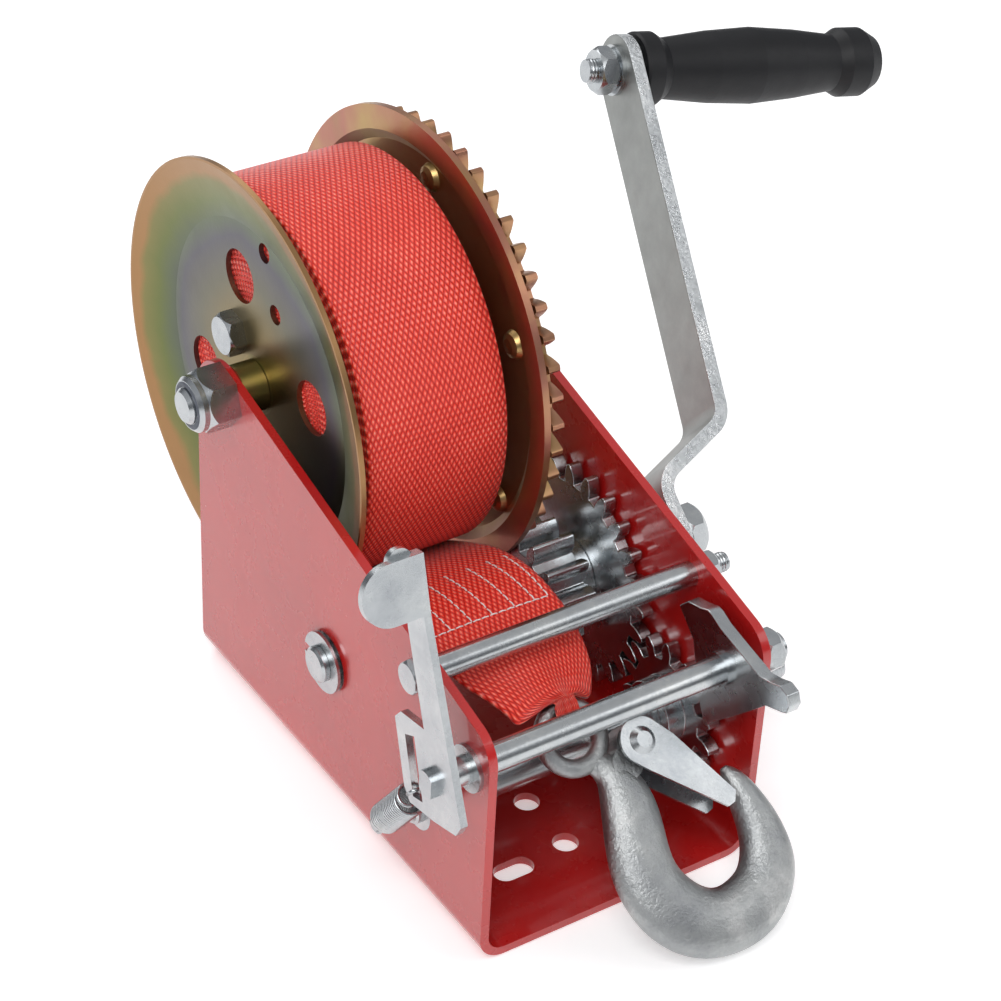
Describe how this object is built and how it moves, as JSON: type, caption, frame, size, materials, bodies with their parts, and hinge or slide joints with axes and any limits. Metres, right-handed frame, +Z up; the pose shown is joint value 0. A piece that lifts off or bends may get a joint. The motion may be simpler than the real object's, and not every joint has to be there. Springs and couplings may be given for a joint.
{
  "type": "boat trailer winch",
  "caption": "Hand-cranked two-gear strap winch with U-shaped steel frame, geared drum, ratchet pawl with selector lever, and a snap hook on a webbing strap.",
  "frame": {"origin": "centre of the base plate's underside", "axes": "+X along the shafts towards the crank, -Y towards the hook, +Z up"},
  "size_m": [0.3254, 0.274, 0.1939],
  "materials": {
    "red_paint": "gloss",
    "yellow_zinc": "satin",
    "bright_zinc": "satin",
    "zinc_bar": "matt",
    "forged_zinc": "rough bright",
    "strap_webbing": "woven",
    "black_grip": "satin"
  },
  "bodies": {
    "frame": {"frame_plate": "red_paint", "drum_axle_bolt": "bright_zinc", "drum_axle_nut": "bright_zinc", "axle_spacer_left": "yellow_zinc", "axle_spacer_right": "yellow_zinc", "drive_shaft_bushes": "bright_zinc", "low_speed_bushes": "bright_zinc", "pawl_shaft_bushes": "bright_zinc", "tie_sleeve": "bright_zinc", "tie_bolt": "bright_zinc", "tie_nut": "bright_zinc", "spring_anchor_pin": "bright_zinc", "strap_tail": "strap_webbing"},
    "drum": {"left_flange": "yellow_zinc", "right_flange": "yellow_zinc", "drum_core": "yellow_zinc", "ring_gear": "yellow_zinc", "ring_gear_rivets": "yellow_zinc", "strap_anchor_bolt": "bright_zinc", "strap_anchor_nut": "bright_zinc", "strap_roll": "strap_webbing"},
    "drive": {"drive_shaft": "bright_zinc", "drive_pinion": "bright_zinc", "large_gear": "bright_zinc", "drive_snap_ring": "bright_zinc", "crank_arm": "zinc_bar", "crank_nut": "bright_zinc", "crank_washer": "bright_zinc", "grip_bolt": "bright_zinc", "grip_nut": "bright_zinc", "grip_washers": "bright_zinc"},
    "grip": {"grip": "black_grip"},
    "low_speed": {"low_speed_shaft": "bright_zinc", "low_speed_pinion": "bright_zinc"},
    "pawl": {"pawl_shaft": "bright_zinc", "pawl": "bright_zinc", "pawl_collar": "bright_zinc", "pawl_nut": "bright_zinc", "selector_lever": "bright_zinc"},
    "lever_spring": {"lever_spring": "bright_zinc"},
    "hook": {"hook": "forged_zinc", "latch_rivet": "bright_zinc"},
    "latch": {"hook_latch": "bright_zinc", "latch_spring": "bright_zinc"}
  },
  "joints": [
    {"name": "drum_spin", "type": "hinge", "parent": "frame", "child": "drum", "pos_m": [0, 0.06878, 0.11627], "axis": [1, 0, 0], "continuous": true},
    {"name": "drive_spin", "type": "hinge", "parent": "frame", "child": "drive", "pos_m": [0, 0.004, 0.0535], "axis": [1, 0, 0], "continuous": true},
    {"name": "low_speed_spin", "type": "hinge", "parent": "frame", "child": "low_speed", "pos_m": [0, -0.04992, 0.03441], "axis": [1, 0, 0], "continuous": true},
    {"name": "grip_spin", "type": "hinge", "parent": "drive", "child": "grip", "pos_m": [0.13995, 0.12779, 0.15737], "axis": [0.9789, -0.1567, -0.1314], "continuous": true},
    {"name": "pawl_toggle", "type": "hinge", "parent": "frame", "child": "pawl", "pos_m": [0, -0.0779, 0.071], "axis": [1, 0, 0], "range_deg": [-24, 0], "stiffness_Nm_per_rad": 0.6, "springref_deg": 20.05},
    {"name": "spring_swing", "type": "hinge", "parent": "frame", "child": "lever_spring", "pos_m": [-0.0596, -0.0415, 0.0241], "axis": [1, 0, 0], "range_deg": [0, 8]},
    {"name": "hook_swing", "type": "hinge", "parent": "frame", "child": "hook", "pos_m": [-0.008, -0.0613, 0.0633], "axis": [1, 0, 0], "range_deg": [-18, 0]},
    {"name": "latch_swing", "type": "hinge", "parent": "hook", "child": "latch", "pos_m": [0.0103, -0.07469, 0.05082], "axis": [0, 0.6818, -0.7316], "range_deg": [0, 30], "stiffness_Nm_per_rad": 0.02, "springref_deg": -28.65}
  ],
  "couplings": [
    {"joint": "drive_spin", "follows": "drum_spin", "ratio": -4},
    {"joint": "low_speed_spin", "follows": "drum_spin", "ratio": 6.8571},
    {"joint": "spring_swing", "follows": "pawl_toggle", "ratio": -0.3}
  ]
}
